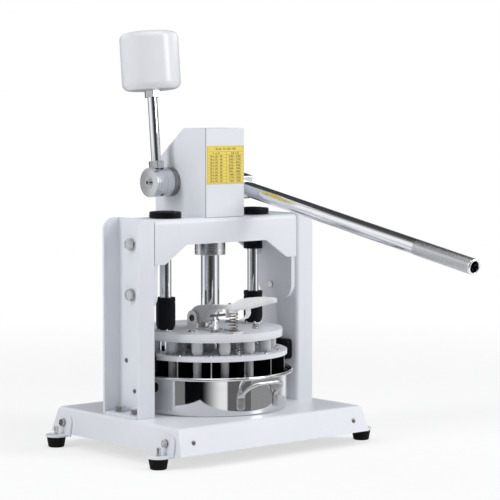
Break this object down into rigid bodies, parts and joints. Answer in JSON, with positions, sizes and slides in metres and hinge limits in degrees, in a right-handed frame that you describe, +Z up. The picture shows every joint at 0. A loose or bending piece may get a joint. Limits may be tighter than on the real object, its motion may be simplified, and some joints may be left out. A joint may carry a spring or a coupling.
{
  "type": "manual dough divider",
  "caption": "Bench-top dough divider: a counterweighted hand lever turns a pinion that lowers a ring of knives and a sprung press plate into a round pan.",
  "frame": {"origin": "on the floor, under the middle of the whole machine's box, lever included", "axes": "+Z up; -Y towards the operator, the way the lever points; +X to the operator's right, the lever's side"},
  "size_m": [0.5438, 0.8234, 0.7959],
  "materials": {
    "white_paint": "smooth powder coat",
    "black_rubber": "matt",
    "black_plastic": "satin",
    "chrome": "polished",
    "zinc": "zinc plated",
    "dark_zinc": "dark zinc",
    "turned_steel": "turned, satin",
    "gear_steel": "cut, oiled",
    "stainless": "polished stainless",
    "blade_steel": "ground stainless",
    "white_iron": "powder coated",
    "white_plastic": "food-grade, slightly translucent",
    "grey_cast": "cast, satin",
    "copper_wire": "coppered spring wire",
    "chart": "printed sheet"
  },
  "bodies": {
    "frame": {"base_plate": "white_paint", "foot_brackets": "white_paint", "bracket_bolts": "zinc", "foot_studs": "dark_zinc", "rubber_feet": "black_rubber", "left_upright": "white_paint", "right_upright": "white_paint", "frame_bolts": "zinc", "frame_nuts": "zinc", "small_screws": "zinc", "bridge": "white_paint", "head_body": "white_paint", "head_cover": "white_paint", "portion_chart": "chart", "head_screws": "zinc", "left_bearing": "dark_zinc", "right_bearing": "dark_zinc", "ram_bush": "turned_steel", "guide_bushes": "black_plastic", "guide_pads": "black_plastic", "pan_bumpers": "black_rubber"},
    "crank": {"pinion_shaft": "turned_steel", "pinion": "gear_steel", "shaft_keys": "dark_zinc", "weight_hub": "turned_steel", "hub_screw": "zinc", "set_screws": "dark_zinc", "weight_rod": "chrome", "rod_nuts": "zinc", "counterweight": "white_iron", "lever_hub": "turned_steel", "lever_tube": "chrome"},
    "carriage": {"ram": "chrome", "rack": "gear_steel", "guide_columns": "chrome", "column_caps": "black_plastic", "column_sleeves": "black_plastic", "column_nuts": "zinc", "knife_carrier": "white_paint", "radial_knives": "blade_steel", "ring_knife": "blade_steel", "cross_knives": "blade_steel", "carrier_screws": "zinc", "spring_pins": "zinc", "return_springs": "zinc"},
    "press": {"press_plate": "white_paint", "press_liner": "white_plastic", "press_posts": "white_plastic", "press_blocks": "white_plastic", "plate_screws": "zinc", "latch_bracket": "grey_cast", "latch_pin": "dark_zinc", "latch_spring": "copper_wire"},
    "latch": {"latch_lever": "grey_cast", "latch_rod": "zinc"},
    "pan": {"pan": "stainless", "pan_floor": "stainless", "pan_handles": "stainless", "pan_rivets": "stainless"}
  },
  "joints": [
    {"name": "lever_turn", "type": "hinge", "parent": "frame", "child": "crank", "pos_m": [0, 0.27075, 0.5055], "axis": [-1, 0, 0], "range_deg": [0, 110]},
    {"name": "head_lift", "type": "slide", "parent": "frame", "child": "carriage", "axis": [0, 0, 1], "range_m": [0, 0.078]},
    {"name": "plate_press", "type": "slide", "parent": "carriage", "child": "press", "axis": [0, 0, 1], "range_m": [-0.015, 0], "stiffness_N_per_m": 8000, "springref_m": 0.02, "deforming": ["return_springs"]},
    {"name": "latch_turn", "type": "hinge", "parent": "press", "child": "latch", "pos_m": [-0.0321, 0.21071, 0.2467], "axis": [1, 0, 0], "range_deg": [0, 10], "stiffness_Nm_per_rad": 4, "springref_deg": -20.05, "deforming": ["latch_spring"]},
    {"name": "pan_turn", "type": "hinge", "parent": "frame", "child": "pan", "pos_m": [0, 0.21071, 0.0732], "axis": [0, 0, 1], "range_deg": [-40, 40]}
  ],
  "couplings": [
    {"joint": "head_lift", "follows": "lever_turn", "m_per_rad": 0.04}
  ]
}
